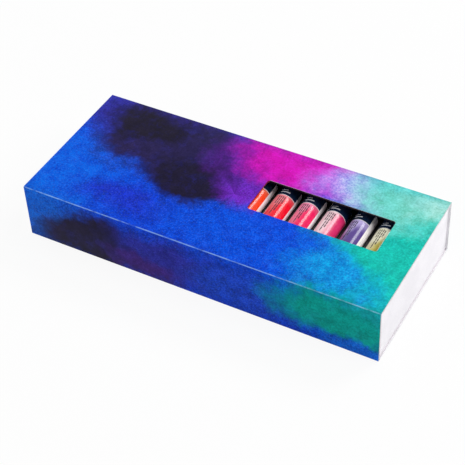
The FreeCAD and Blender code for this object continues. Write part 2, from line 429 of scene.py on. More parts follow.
@dataclass(frozen=True)
class PrintedWash(Finish):
    """A watercolour wash printed on the cover's paper, with fold lines worn pale."""

    ground: Colour = srgb(6, 61, 202)
    bloom: Colour = srgb(30, 34, 132)
    deep: Colour = (0.22, 0.22, 0.22, 1.0)
    thin: Colour = (0.8, 0.8, 0.8, 1.0)
    speck: Colour = srgb(64, 88, 96)
    worn: Colour = srgb(146, 182, 230)
    drift: float = 22 * MM
    fray: float = 10 * MM
    rub_edges: Pair = (0.7 * MM, 0.2 * MM)
    fold_lines: tuple[float, ...] = ()

    def paint(self, nodes: NodeSheet) -> dict[str, Value]:
        """Lay the pools over each other with ragged edges, then the paper's grain.

        Args:
            nodes: The material's nodes.

        Returns:
            The values of the shader's inputs.
        """
        place = nodes.uv_place(SHEET_UV)
        drift = self.stray(nodes.noise(place, scale=24, detail=4, rough=0.6), self.drift)
        ragged = self.stray(nodes.noise(place, scale=150, detail=6, rough=0.7), self.fray)
        colour = self.pooled(nodes.vector("ADD", nodes.vector("ADD", place, drift), ragged))
        bloom = nodes.noise(nodes.vector("ADD", place, ragged), scale=70, detail=6, rough=0.7)
        colour = nodes.mix(bloom.rise(0.46, 0.72) * 0.34, colour, self.bloom, "SCREEN")
        red, green, blue = nodes.axes(colour)
        grainy = (blue - red.most(green)).rise(0.08, 0.5)
        cloud = nodes.noise(place, scale=110, detail=8, rough=0.75)
        colour = self.shaded(colour, cloud.rise(0.3, 0.7), grainy * 0.25 + 0.45)
        tooth = nodes.noise(place, scale=620, detail=4, rough=0.75)
        colour = self.shaded(colour, tooth.rise(0.28, 0.72), grainy * 0.45 + 0.4)
        specks = nodes.noise(place, scale=900, detail=3, rough=0.7).rise(0.5, 0.68) * grainy
        colour = nodes.mix(specks * 0.6, colour, self.speck, "SCREEN")
        fibres = nodes.noise(place, scale=2600, detail=2)
        return {
            "Base Color": self.rubbed(place, colour),
            "Roughness": tooth * 0.12 + 0.42,
            "Specular IOR Level": 0.03,
            "Normal": nodes.bump(fibres, strength=0.12, distance=0.1 * MM),
        }

    @staticmethod
    def stray(noise: Wire, reach: float) -> Wire:
        """Turn noise into a shift by a reach at most, either way."""
        return noise.nodes.vector("MULTIPLY_ADD", noise.other(1), (2 * reach,) * 3, (-reach,) * 3)

    def pooled(self, wet: Wire) -> Value:
        """Lay the pools over the ground colour.

        Args:
            wet: Places on the sheet, shifted as the wet colour strays.

        Returns:
            The colour.
        """
        nodes = wet.nodes
        colour: Value = self.ground
        for pool in POOLS:
            centre = (pool.along * MM, pool.across * MM, 0)
            reach = (pool.wide * MM, pool.deep * MM, 1)
            off = nodes.vector("DIVIDE", nodes.vector("SUBTRACT", wet, centre), reach)
            away = nodes.vector("LENGTH", off, output=1)
            colour = nodes.mix(away.rise(1.0, pool.edge), colour, srgb(*pool.colour))
        return colour

    def shaded(self, colour: Wire, mask: Wire, share: Wire) -> Wire:
        """Let a colour settle deep or thin by a mask."""
        veil = colour.nodes.mix(mask, self.deep, self.thin)
        return colour.nodes.mix(share, colour, veil, "OVERLAY")

    def rubbed(self, place: Wire, colour: Wire) -> Wire:
        """Wear the print pale along the fold lines.

        Args:
            place: Places on the sheet.
            colour: The print's colour.

        Returns:
            The worn colour.
        """
        nodes = place.nodes
        _, across, _ = nodes.axes(place)
        for line in self.fold_lines:
            patchy = nodes.noise(place, scale=90, detail=5, rough=0.7).rise(0.28, 0.6)
            rub = abs(across - line).rise(*self.rub_edges) * patchy
            colour = nodes.mix(rub * 0.85, colour, self.worn, "SCREEN")
        return colour


@dataclass(frozen=True)
class PaperSkin(Finish):
    """Plain paper or cut board with fibres and faint clouds."""

    light: Colour = srgb(242, 240, 244)
    dark: Colour = srgb(230, 228, 233)
    fibre: float = 900
    layers: float = 0.0

    def paint(self, nodes: NodeSheet) -> dict[str, Value]:
        """Cloud the paper softly and give it a fine tooth.

        Args:
            nodes: The material's nodes.

        Returns:
            The values of the shader's inputs.
        """
        place = nodes.object_place()
        layered = nodes.vector("MULTIPLY", place, (1, 1, 1 + self.layers))
        cloud = nodes.noise(place, scale=60, detail=4)
        tooth = nodes.noise(layered, scale=self.fibre, detail=3, rough=0.6)
        share = cloud.rise(0.35, 0.7) * 0.5 + tooth.rise(0.3, 0.7) * 0.5
        return {
            "Base Color": nodes.mix(share, self.light, self.dark),
            "Roughness": tooth * 0.1 + 0.55,
            "Specular IOR Level": 0.2,
            "Normal": nodes.bump(tooth, strength=0.12, distance=0.1 * MM),
        }


@dataclass(frozen=True)
class MouldedPlastic(Finish):
    """Dark plastic with a fine moulded texture."""

    tint: Colour = srgb(22, 22, 24)
    scuff: Colour = srgb(38, 38, 41)
    gloss: float = 0.34

    def paint(self, nodes: NodeSheet) -> dict[str, Value]:
        """Mottle the plastic a little and roughen it where it is handled.

        Args:
            nodes: The material's nodes.

        Returns:
            The values of the shader's inputs.
        """
        place = nodes.object_place()
        fine = nodes.noise(place, scale=1600, detail=3)
        broad = nodes.noise(place, scale=90, detail=4)
        return {
            "Base Color": nodes.mix(broad.rise(0.45, 0.75), self.tint, self.scuff),
            "Roughness": broad * 0.14 + self.gloss,
            "Normal": nodes.bump(fine, strength=0.15, distance=0.1 * MM),
        }


@dataclass(frozen=True)
class BareMetal(Finish):
    """Bare metal with fine drawn lines round the Y axis."""

    tint: Colour = srgb(214, 215, 218)
    shade: Colour = srgb(176, 178, 183)
    gloss: float = 0.26

    def paint(self, nodes: NodeSheet) -> dict[str, Value]:
        """Draw the lines as noise that is short along the axis.

        Args:
            nodes: The material's nodes.

        Returns:
            The values of the shader's inputs.
        """
        lines = nodes.vector("MULTIPLY", nodes.object_place(), (40, 1800, 40))
        drawn = nodes.noise(lines, scale=1, detail=3)
        return {
            "Base Color": nodes.mix(drawn.rise(0.3, 0.7), self.tint, self.shade),
            "Roughness": drawn * 0.18 + self.gloss,
            "Metallic": 1.0,
        }


@dataclass(frozen=True)
class PaintPaste(Finish):
    """The paints in the tubes, warm at one end of a row and cool at the other."""

    warm: Colour = srgb(226, 170, 40)
    cool: Colour = srgb(96, 40, 120)
    streaks: Colour = srgb(190, 60, 60)
    half_row: float = 0.11

    def paint(self, nodes: NodeSheet) -> dict[str, Value]:
        """Run the hues along the row and streak the paste.

        Args:
            nodes: The material's nodes.

        Returns:
            The values of the shader's inputs.
        """
        place = nodes.object_place()
        along, _, _ = nodes.axes(place)
        hue = nodes.mix(along.rise(-self.half_row, self.half_row), self.warm, self.cool)
        streak = nodes.noise(nodes.vector("MULTIPLY", place, (3, 1, 3)), scale=160, detail=4)
        return {
            "Base Color": nodes.mix(streak * 0.4, hue, self.streaks),
            "Roughness": streak * 0.2 + 0.3,
        }


@dataclass(frozen=True)
class Paint:
    """One paint of the set: its name, its label's colours and the tube's turn in its channel.

    The side wash and end_wash say how far the pale colour reaches, and bars_turn moves the bars; the side
    wash is partly printed and partly painted light on the tube's left side.
    """

    name: str
    full: Levels
    pale: Levels
    turn: float = 12.0
    side_wash_and_painted_light: float = 0.3
    end_wash: float = 4.5
    bars_turn: float = 0.0


@dataclass(frozen=True)
class TubeLabel(Finish):
    """Lacquer print on a tube: a colour panel with a dark band, and a pale back panel.

    Turns are in degrees from the panel's middle, runs in millimetres from the tail. A block of
    print is its first and last turn, and its first and last run.
    """

    paint_in: Paint
    half_panel: float = 78.0
    band_from: float = 68.2
    print_from: float = 8.6
    length: float = 91.0
    bars: tuple[Block, ...] = ((-18.4, -11.6, 57.5, 66.2), (-7.4, -0.6, 46.0, 66.2),
                               (3.6, 10.4, 50.0, 66.4), (13.6, 20.4, 58.5, 66.2))
    band_rows: tuple[Block, ...] = ((-30, 24, 70.8, 71.8), (-30, 6, 73.2, 73.8))
    back_bars: tuple[Block, ...] = ((90.8, 93.2, 30, 62), (102.8, 105.2, 24, 64),
                                    (114.8, 117.2, 28, 60), (-99.2, -96.8, 26, 60))
    bar_ink: Colour = srgb(40, 30, 44)
    band_ink: Colour = srgb(14, 34, 62)
    row_ink: Colour = srgb(226, 230, 236)
    line_ink: Colour = srgb(246, 246, 248)
    back_ink: Colour = srgb(250, 245, 247)
    back_bar_ink: Colour = srgb(120, 122, 130)
    bare_tail: Colour = srgb(206, 207, 211)

    def paint(self, nodes: NodeSheet) -> dict[str, Value]:
        """Paint the panels, their plain bars and the bare folded tail.

        Args:
            nodes: The material's nodes.

        Returns:
            The values of the shader's inputs.
        """
        place = nodes.uv_place(LABEL_UV)
        turn, run, _ = nodes.axes(place)
        turn = (turn.part() - 0.5) * 360
        run = run * self.length
        marked = turn - self.paint_in.bars_turn
        cloth = nodes.noise(nodes.vector("MULTIPLY", place, (9, 16, 1)), scale=1.6, detail=5, rough=0.6)
        full, pale = srgb(*self.paint_in.full), srgb(*self.paint_in.pale)
        colour = nodes.mix(self.paleness(turn, run, cloth), full, pale)
        bars = self.marks(marked, run, self.bars, soft=0.5)
        bars = bars * (run * 0.3 + marked * 0.013).part().rise(0.08, 0.16)
        colour = nodes.mix(bars * 0.85, colour, self.bar_ink)
        rows = self.marks(marked, run, self.band_rows, soft=0.8)
        inked = nodes.mix(rows * 0.9, self.band_ink, self.row_ink)
        band = run.rise(self.band_from - 0.12, self.band_from + 0.12)
        line = run.within(self.band_from - 0.5, self.band_from + 0.1, soft=0.08)
        colour = nodes.mix(line * 0.8, nodes.mix(band, colour, inked), self.line_ink)
        back = self.marks(turn, run, self.back_bars, soft=0.5)
        back = nodes.mix(back * 0.4, self.back_ink, self.back_bar_ink)
        panel = abs(turn).rise(self.half_panel + 0.8, self.half_panel - 0.8)
        bare = run.rise(self.print_from + 0.15, self.print_from - 0.15)
        dents = nodes.noise(nodes.object_place(), scale=210, detail=2)
        return {
            "Base Color": nodes.mix(bare, nodes.mix(panel, back, colour), self.bare_tail),
            "Metallic": bare * 0.9,
            "Roughness": cloth * 0.06 + 0.16,
            "Specular IOR Level": 0.3,
            "Normal": nodes.bump(dents, strength=0.02, distance=0.4 * MM),
        }

    def paleness(self, turn: Wire, run: Wire, cloth: Wire) -> Wire:
        """Let the colour run out pale towards the band and towards one side.

        Args:
            turn: Degrees from the panel's middle.
            run: Millimetres from the tail.
            cloth: Noise that frays the edge of the wash.

        Returns:
            The share of the pale colour; on the left side it is partly the print's own gradient and partly
            painted light.
        """
        reach = turn.rise(48, -16) * 12 + self.paint_in.end_wash
        end = (run + cloth * 6 - 3 + reach).rise(self.band_from - 3, self.band_from + 9)
        # Painted light: the pale wash on the left side is raised beyond the print's gradient to brighten
        # that side of the tube.
        side = (turn + cloth * 32 - 16).rise(26, -38)
        near_band = (run + cloth * 20 - 10).rise(self.band_from - 28, self.band_from - 6)
        return end.most(side * near_band.most(self.paint_in.side_wash_and_painted_light)) * 0.92

    @staticmethod
    def marks(turn: Wire, run: Wire, blocks: Sequence[Block], soft: float) -> Wire:
        """Mark plain blocks on the label.

        Args:
            turn: Degrees from the middle of the panel.
            run: Millimetres from the tail.
            blocks: The blocks.
            soft: How softly a block ends at its sides, in degrees.

        Returns:
            The mask of all blocks.
        """
        masks = [turn.within(first, last, soft) * run.within(low, high, 0.1)
                 for first, last, low, high in blocks]
        return reduce(Wire.most, masks)


@dataclass(frozen=True)
class StudioFloor(Finish):
    """White floor that is seen white and still holds a soft shadow."""

    tint: Colour = srgb(236, 236, 236)
    shade: float = 0.09

    def paint(self, nodes: NodeSheet) -> dict[str, Value]:
        """Mix a white glow, seen by eye and mirror, with a plain pale surface.

        Args:
            nodes: The material's nodes.

        Returns:
            The values of the plain surface's inputs.
        """
        glow = nodes.add("ShaderNodeEmission", {0: (1, 1, 1, 1), 1: 1.0})
        plain = Wire(nodes, nodes.tree.nodes["Principled BSDF"].outputs[0])
        shown = nodes.add("ShaderNodeMixShader", {0: nodes.seen() * (1 - self.shade), 1: plain, 2: glow})
        nodes.feed(nodes.tree.nodes["Material Output"], {0: shown})
        return {"Base Color": self.tint, "Roughness": 0.9}


WASH = PrintedWash("printed_wash")
FOLDED_WASH = PrintedWash("folded_wash", fold_lines=(-0.060, 0.060, 0.106))
WHITE_PAPER = PaperSkin("white_paper")
# Painted shade: the base's lining is grey so that the ledge at the foot of the tray's walls looks shaded.
BASE_LINING_SHADE = PaperSkin("base_lining_painted_shade", srgb(215, 210, 214), srgb(201, 196, 201))
# Painted shade: the window's upright cut walls are painted near black for the shade under the lid, in
# place of the board's grey.
WINDOW_CUT_SHADE = PaperSkin("window_cut", srgb(34, 30, 40), srgb(22, 20, 27), 700, 3.0)
# Print with painted light: the cut wall that faces the right end is magenta, partly the print turned round
# the edge and partly a painted red bounce from the tubes.
WINDOW_CUT_PRINT_AND_BOUNCE = PaperSkin("window_cut_print_and_bounce", srgb(158, 52, 98), srgb(128, 40, 84), 700, 3.0)
CUT_BOARD = PaperSkin("cut_board", srgb(210, 211, 213), srgb(172, 173, 176), 700, 3.0)
HOLDER_PLASTIC = MouldedPlastic("holder_plastic_black")
CAP_PLASTIC = MouldedPlastic("cap_plastic_black", srgb(26, 26, 28), srgb(40, 40, 43), 0.28)
NECK_METAL = BareMetal("neck_metal")
MAGNET_STEEL = BareMetal("magnet_steel", srgb(170, 170, 172), srgb(130, 130, 133), 0.32)


@contextmanager
def opened(mesh: Mesh) -> Iterator[bmesh.types.BMesh]:
    """Open a mesh for an operation and write it back.

    Args:
        mesh: The mesh.

    Yields:
        The open mesh.
    """
    work = bmesh.new()
    work.from_mesh(mesh)
    yield work
    work.to_mesh(mesh)
    work.free()


def mesh_from(name: str, points: Sequence[Point], faces: Sequence[Sequence[int]]) -> Mesh:
    """Make a mesh with its faces turned outwards.

    Args:
        name: The mesh's name.
        points: Places of the vertices in metres.
        faces: Vertex numbers of each face.

    Returns:
        The mesh.
    """
    mesh = bpy.data.meshes.new(name)
    mesh.from_pydata(points, [], faces)
    with opened(mesh) as work:
        bmesh.ops.recalc_face_normals(work, faces=work.faces)
    return mesh


def loops_to_faces(rings: int, count: int, closed: bool = False) -> list[tuple[int, ...]]:
    """Join rings of equal count by four-sided faces.

    Args:
        rings: How many rings follow each other.
        count: Points in each ring.
        closed: Whether the last ring joins the first.

    Returns:
        The faces.
    """
    faces = []
    for r in range(rings if closed else rings - 1):
        below, above = r * count, (r + 1) % rings * count
        for i in range(count):
            j = (i + 1) % count
            faces.append((below + i, below + j, above + j, above + i))
    return faces


def disc(ring: int, count: int) -> tuple[int, ...]:
    """Give the face that fills a ring."""
    return tuple(range(ring * count, (ring + 1) * count))


def circle(run: float, radius: float, count: int) -> list[Point]:
    """Give a ring of points round the Y axis; a negative radius starts it on the other side."""
    turns = [math.tau * i / count for i in range(count)]
    return [(math.sin(turn) * radius, run, math.cos(turn) * radius) for turn in turns]


def profile_at(run: float, radius: float, rows: Rows) -> list[Pair]:
    """Set rows of run and radius, in millimetres from a place on a profile, at that place."""
    return [(run + along * MM, radius + out * MM) for along, out in rows]


def rounded_stack(xs: Pair, ys: Pair, corner: float, steps: int, levels: Sequence[Pair]) -> list[Point]:
    """Stack outlines of a rectangle with round corners.

    Args:
        xs: Lowest and highest X of the rectangle.
        ys: Lowest and highest Y.
        corner: Radius of its corners.
        steps: Points along each corner, less one.
        levels: How far each outline grows outwards, and its height.

    Returns:
        The outlines' points, each outline counter-clockwise.
    """
    points = []
    for grow, z in levels:
        radius = max(corner + grow, LEAST_CORNER)
        left, right = xs[0] - grow + radius, xs[1] + grow - radius
        near, far = ys[0] - grow + radius, ys[1] + grow - radius
        for x, y, start in ((right, near, -90), (right, far, 0), (left, far, 90), (left, near, 180)):
            for k in range(steps + 1):
                turn = math.radians(start + 90 * k / steps)
                points.append((x + radius * math.cos(turn), y + radius * math.sin(turn), z))
    return points


def smooth(mesh: Mesh, angle: float) -> None:
    """Shade a mesh smoothly but for edges sharper than an angle in degrees."""
    mesh.shade_smooth()
    mesh.set_sharp_from_angle(angle=math.radians(angle))


def dress(mesh: Mesh, *finishes: Finish) -> None:
    """Give a mesh its finishes in place of those it has.

    Args:
        mesh: The mesh.
        finishes: The finishes, in the order of their numbers.
    """
    mesh.materials.clear()
    for finish in finishes:
        mesh.materials.append(finish.material())


def map_uv(mesh: Mesh, name: str, rule: Callable[[int], Pair]) -> None:
    """Give a mesh a UV map.

    Args:
        mesh: The mesh.
        name: The map's name.
        rule: Gives the two coordinates of a vertex by its number.
    """
    layer = mesh.uv_layers.new(name=name)
    for loop in mesh.loops:
        layer.data[loop.index].uv = rule(loop.vertex_index)


def seat(piece: Object, body: str, slot: str, *nodes: str) -> None:
    """Ride a finished piece on its body and let it stand for its solids.

    Args:
        piece: The piece.
        body: The body that it moves with.
        slot: The record's material slot; not used.
        nodes: The solids that it stands for.
    """
    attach(piece, body)
    if nodes:
        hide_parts(*nodes)
    LOG.info("%s rides on %s, %d faces", piece.name, body, len(piece.data.polygons))


class Panel(Enum):
    """The panels of the cover, in the order in which the flat sheet runs round the box."""

    FLAP = "flap"
    LID = "lid"
    SPINE = "spine"
    BASE = "base"


class Layer(IntEnum):
    """The finishes of a board, by their numbers on its mesh."""

    PRINT = 0
    LINING = 1
    EDGE = 2
    # The two finishes after EDGE belong to the window's cut walls: one is painted shade, the other print
    # colour with a painted red bounce.
    WINDOW = 3
    CUT_PRINT_AND_BOUNCE = 4


@dataclass
class Cover:
    """The printed cover: four boards with folds of paper between them."""

    half_x: float = CAD_BOX[1][0]
    half_y: float = CAD_BOX[1][1]
    height: float = CAD_BOX[1][2]
    board: float = 1.5 * MM
    fold: float = 1.0 * MM
    fold_steps: int = 12
    paper: float = 0.35 * MM
    mitre: float = 0.08 * MM
    lining: float = 0.08 * MM
    round_edge: float = 0.1 * MM
    window_x: Pair = (14.463 * MM, 113.663 * MM)
    window_y: Pair = (-8.9 * MM, 24.2 * MM)
    window_corner: float = 2.0 * MM
    window_steps: int = 8
    flap_foot: float = 0.3 * MM
    base_front: float = -58.2 * MM

    def sheet_rule(self, panel: Panel) -> Callable[[Vector], Pair]:
        """Give the rule that unfolds a panel onto the flat sheet.

        Args:
            panel: The panel.

        Returns:
            A rule from a place to the sheet's two coordinates in metres.
        """
        rules = {
            Panel.LID: lambda p: (p.x, p.y),
            Panel.FLAP: lambda p: (p.x, p.z - self.height - self.half_y),
            Panel.SPINE: lambda p: (p.x, self.half_y + self.height - p.z),
            Panel.BASE: lambda p: (p.x, 2 * self.half_y + self.height - p.y),
        }
        return rules[panel]

    def fold_edge(self) -> list[Pair]:
        """Give a board's section at a fold, as run along the board and depth below its print."""
        arc = self.fold - (self.fold - self.paper) * math.sqrt(0.5)
        return [(self.fold, 0.0), (self.fold, self.paper), (arc + self.mitre, arc - self.mitre),
                (self.board + self.mitre, self.board)]

    def along_box(self, section: Sequence[Pair]) -> list[Point]:
        """Set a section in Y and Z at both ends of the box."""
        return [(side * self.half_x, y, z) for side in (-1, 1) for y, z in section]

    def board_mesh(self, name: str, section: Sequence[Pair]) -> Mesh:
        """Run a closed section in Y and Z along the box and round its edges.

        Args:
            name: The mesh's name.
            section: Corners of the section in metres.

        Returns:
            The board.
        """
        count = len(section)
        faces = loops_to_faces(2, count) + [disc(0, count), disc(1, count)]
        mesh = mesh_from(name, self.along_box(section), faces)
        with opened(mesh) as work:
            bmesh.ops.bevel(work, geom=work.edges[:], offset=self.round_edge, segments=2,
                            affect="EDGES", profile=0.5, clamp_overlap=True)
        return mesh

    def sections(self) -> dict[Panel, list[Pair]]:
        """Work out the section of each board.

        Returns:
            Corners in Y and Z for each panel.
        """
        edge = self.fold_edge()
        top, far, inner = self.height, self.half_y, self.board + self.lining
        lid = [(run - far, top - deep) for run, deep in edge]
        lid += [(far - run, top - deep) for run, deep in reversed(edge)]
        flap = [(deep - far, top - run) for run, deep in edge[:-1]]
        flap += [(inner - far, top - inner - self.mitre), (inner - far, self.flap_foot)]
        flap += [(-far, self.flap_foot)]
        spine = [(far - deep, top - run) for run, deep in edge]
        spine += [(far - deep, run) for run, deep in reversed(edge)]
        base = [(far - run, deep) for run, deep in edge]
        base += [(self.base_front, self.board), (self.base_front, 0.0)]
        return {Panel.LID: lid, Panel.FLAP: flap, Panel.SPINE: spine, Panel.BASE: base}

    def cut_window(self, mesh: Mesh) -> Mesh:
        """Cut the window through the lid with a small chamfer round its rim.

        Args:
            mesh: The whole lid.

        Returns:
            The lid with its window.
        """
        levels = ((0.0, self.height - 2 * self.board), (0.0, self.height - self.round_edge),
                  (2 * self.round_edge, self.height + self.round_edge))
        points = rounded_stack(self.window_x, self.window_y, self.window_corner, self.window_steps, levels)
        rings = len(levels)
        count = len(points) // rings
        faces = loops_to_faces(rings, count) + [disc(0, count), disc(rings - 1, count)]
        lid = new_object("lid_blank", mesh)
        cutter = new_object("window_cutter", mesh_from("window_cutter", points, faces))
        cut = lid.modifiers.new("window", "BOOLEAN")
        cut.object, cut.operation, cut.solver = cutter, "DIFFERENCE", "EXACT"
        result = settled_mesh(lid)
        bpy.data.objects.remove(cutter)
        return result

    def on_rim(self, place: Vector) -> bool:
        """Tell whether a face's middle lies on the window's rim."""
        spans = zip(place, (self.window_x, self.window_y))
        return abs(max(max(low - at, at - high) for at, (low, high) in spans)) < self.board / 2

    @staticmethod
    def rim_layer(normal: Vector, facing: float, level: float = 0.3) -> Layer:
        """Choose the finish of a face on the window's rim.

        Args:
            normal: The face's normal.
            facing: How far it faces the same way as the print.
            level: What counts as facing one way.

        Returns:
            The finish: the upright wall that faces the right end gets print colour with a painted red
                bounce from the tubes, the other upright walls a painted shade.
        """
        upright = abs(facing) < level
        # Painted bounce on the upright wall facing +X, painted shade on the other upright walls of the
        # window.
        if normal.x > level:
            return Layer.CUT_PRINT_AND_BOUNCE if upright else Layer.PRINT
        return Layer.WINDOW if upright else Layer.EDGE

    def dress_board(self, mesh: Mesh, panel: Panel, outward: Vector) -> None:
        """Give a board its print outside, its lining inside and its cut edges.

        Args:
            mesh: The board.
            panel: Which panel it is.
            outward: The direction that its print faces.
        """
        # The base's lining is a painted shade for the ledge at the foot of the tray walls.
        lining, edge = (BASE_LINING_SHADE, WHITE_PAPER) if panel is Panel.BASE else (WHITE_PAPER, CUT_BOARD)
        dress(mesh, WASH, lining, edge, WINDOW_CUT_SHADE, WINDOW_CUT_PRINT_AND_BOUNCE)
        for face in mesh.polygons:
            facing = face.normal.dot(outward)
            if panel is Panel.LID and self.on_rim(face.center):
                face.material_index = self.rim_layer(face.normal, facing)
            elif abs(facing) > 0.5:
                face.material_index = Layer.PRINT if facing > 0 else Layer.LINING
            else:
                face.material_index = Layer.EDGE
        unfold = self.sheet_rule(panel)
        map_uv(mesh, SHEET_UV, lambda at: unfold(mesh.vertices[at].co))
        smooth(mesh, angle=35)

    def fold_mesh(self, name: str, corner: Pair, toward: tuple[int, int], lines: Pair) -> Mesh:
        """Make the paper that goes round a fold.

        Args:
            name: The mesh's name.
            corner: The box's corner in Y and Z.
            toward: Signs in Y and Z that point from the corner into the box.
            lines: The sheet's coordinate at the start, on the level board, and at the end.

        Returns:
            A quarter-round strip of paper.
        """
        steps = self.fold_steps
        middle = (corner[0] + toward[0] * self.fold, corner[1] + toward[1] * self.fold)
        outer, inner = range(steps + 1), range(steps, -1, -1)
        section, marks = [], []
        for radius, order in ((self.fold, outer), (self.fold - self.paper, inner)):
            for k in order:
                turn = k / steps * math.pi / 2
                section.append((middle[0] - toward[0] * radius * math.sin(turn),
                                middle[1] - toward[1] * radius * math.cos(turn)))
                marks.append(lines[0] + (lines[1] - lines[0]) * k / steps)
        count = len(section)
        points = self.along_box(section)
        faces = loops_to_faces(2, count)
        for side in (0, count):
            faces += [(side + k, side + k + 1, side + count - 2 - k, side + count - 1 - k)
                      for k in range(steps)]
        mesh = mesh_from(name, points, faces)
        map_uv(mesh, SHEET_UV, lambda at: (points[at][0], marks[at % count]))
        dress(mesh, FOLDED_WASH, WHITE_PAPER)
        for face in mesh.polygons:
            off = face.center - Vector((0, *middle))
            inward = abs(face.normal.x) < 0.5 and face.normal.dot(off) < 0
            face.material_index = Layer.LINING if inward else Layer.PRINT
        smooth(mesh, angle=50)
        return mesh

    def build(self) -> None:
        """Make the four boards and the three folds, and seat the boards and the low fold."""
        outward = {Panel.LID: Vector((0, 0, 1)), Panel.FLAP: Vector((0, -1, 0)),
                   Panel.SPINE: Vector((0, 1, 0)), Panel.BASE: Vector((0, 0, -1))}
        body = {Panel.LID: "lid", Panel.FLAP: "flap", Panel.SPINE: "box", Panel.BASE: "box"}
        for panel, section in self.sections().items():
            mesh = self.board_mesh(panel.value + "_cover", section)
            if panel is Panel.LID:
                mesh = self.cut_window(mesh)
            self.dress_board(mesh, panel, outward[panel])
            seat(new_object(panel.value + "_cover", mesh), body[panel], "printed_board",
                 panel.value + "_board")
        far, top, fold = self.half_y, self.height, self.fold
        front = new_object("front_fold", self.fold_mesh(
            "front_fold", (-far, top), (1, -1), (fold - far, -far - fold)))
        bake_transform(front)
        back = new_object("back_fold", self.fold_mesh(
            "back_fold", (far, top), (-1, -1), (far - fold, far + fold)))
        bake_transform(back)
        for piece in (front, back):
            LOG.info("%s bends between two bodies", piece.name)
        low = self.fold_mesh("low_fold", (far, 0), (-1, 1), (far + top + fold, far + top - fold))
        seat(new_object("low_fold", low), "box", "printed_board")


@dataclass
class Tray:
    """The white tray: four walls wrapped in one strip of paper."""

    wall: float = 1.5 * MM
    skin: float = 0.08 * MM
    edge: float = 0.45 * MM
    edge_steps: int = 4
    corner: float = 0.7 * MM
    corner_steps: int = 5

    def build(self) -> None:
        """Make the walls as one ring with a rounded top edge."""
        nodes = ("front_wall", "back_wall", "end_walls")
        low = Vector([min(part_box(n)[0][i] for n in nodes) for i in range(3)])
        high = Vector([max(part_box(n)[1][i] for n in nodes) for i in range(3)])
        inwards = [(0.0, low.z)]
        for k in range(self.edge_steps + 1):
            turn = math.radians(90 * k / self.edge_steps)
            inwards.append((self.edge * (1 - math.cos(turn)), high.z - self.edge * (1 - math.sin(turn))))
        levels = [(self.skin - inset, z) for inset, z in inwards]
        levels += [(inset - self.wall, z) for inset, z in reversed(inwards)]
        points = rounded_stack((low.x, high.x), (low.y, high.y), self.corner, self.corner_steps, levels)
        faces = loops_to_faces(len(levels), len(points) // len(levels), closed=True)
        mesh = mesh_from("tray_walls", points, faces)
        dress(mesh, WHITE_PAPER)
        smooth(mesh, angle=50)
        seat(new_object("tray_walls", mesh), "box", "white_board", *nodes)


@dataclass
class Holders:
    """The two formed plastic holders with a channel for each tube."""

    channel: float = 8.3 * MM
    land_drop: float = 2.0 * MM
    land_blend: float = 0.8 * MM
    pocket_x: float = 121.863 * MM
    pocket_y: Pair = (-49.85 * MM, 50.15 * MM)
    channel_from: float = -2.85 * MM
    draft: float = 1.2 * MM
    sheet: float = 0.45 * MM
    step: float = 1.0 * MM
    axes: tuple[tuple[str, float], ...] = (("lower_insert", LOWER_AXIS), ("upper_insert", UPPER_AXIS))

    def tree(self) -> GeometrySheet:
        """Make the rule of the formed sheet as a geometry tree.

        Returns:
            The tree, with named inputs for the sizes.
        """
        g = GeometrySheet("formed_sheet")
        half, front, back, axis, rim, foot = g.sizes(
            "Half Length", "Front", "Back", "Tube Axis", "Rim", "Foot")
        pitch, radius, drop, blend, start, draft = g.sizes(
            "Pitch", "Channel Radius", "Land Drop", "Land Blend", "Channel Start", "Draft")
        side, near, far = g.sizes("Pocket Side", "Pocket Front", "Pocket Back")
        wide, deep = g.sizes("Points Along", "Points Across", kind="NodeSocketInt")
        grid = g.add("GeometryNodeMeshGrid", {0: half * 2, 1: back - front, 2: wide, 3: deep})
        x, y, _ = g.axes(g.add("GeometryNodeInputPosition"))
        y = y + (front + back) * 0.5
        off = ((x / pitch).part() - 0.5) * pitch
        bowl = axis - (radius * radius - off * off).most(0.0).root()
        bed = g.maths("SMOOTH_MIN", bowl, axis - drop, blend)
        floor = axis - radius
        z = floor.toward(bed, y.rise(start - draft, start + draft))
        wall = abs(x).rise(side, side + draft)
        wall = wall.most(y.rise(near, near - draft)).most(y.rise(far, far + draft))
        z = z.toward(rim, wall)
        high, low = draft * 0.9, draft * 0.1
        edge = abs(x).rise(half - high, half - low)
        edge = edge.most(y.rise(front + high, front + low)).most(y.rise(back - high, back - low))
        z = z.toward(foot, edge)
        g.close(g.add("GeometryNodeSetPosition", {0: grid, 2: g.row(x, y, z)}))
        return g

    def build(self) -> None:
        """Form both holders and give them the thickness of their sheet."""
        tree = self.tree()
        for node, axis in self.axes:
            low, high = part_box(node)
            sizes = {
                "Half Length": high.x, "Front": low.y, "Back": high.y, "Tube Axis": axis, "Rim": high.z,
                "Foot": low.z + self.sheet, "Pitch": PITCH, "Channel Radius": self.channel,
                "Land Drop": self.land_drop, "Land Blend": self.land_blend,
                "Channel Start": self.channel_from, "Draft": self.draft, "Pocket Side": self.pocket_x,
                "Pocket Front": self.pocket_y[0], "Pocket Back": self.pocket_y[1],
                "Points Along": int(2 * high.x / self.step),
                "Points Across": int((high.y - low.y) / self.step),
                "Finish": HOLDER_PLASTIC.material(),
            }
            blank = new_object("holder_blank", bpy.data.meshes.new("holder_blank"))
            mesh = tree.plain_mesh(blank, sizes)
            mesh.shade_smooth()
            piece = new_object(node.replace("insert", "holder"), mesh)
            wall = piece.modifiers.new("sheet", "SOLIDIFY")
            wall.thickness, wall.offset = self.sheet, -1.0
            seat(piece, "box", "holder_plastic", node)


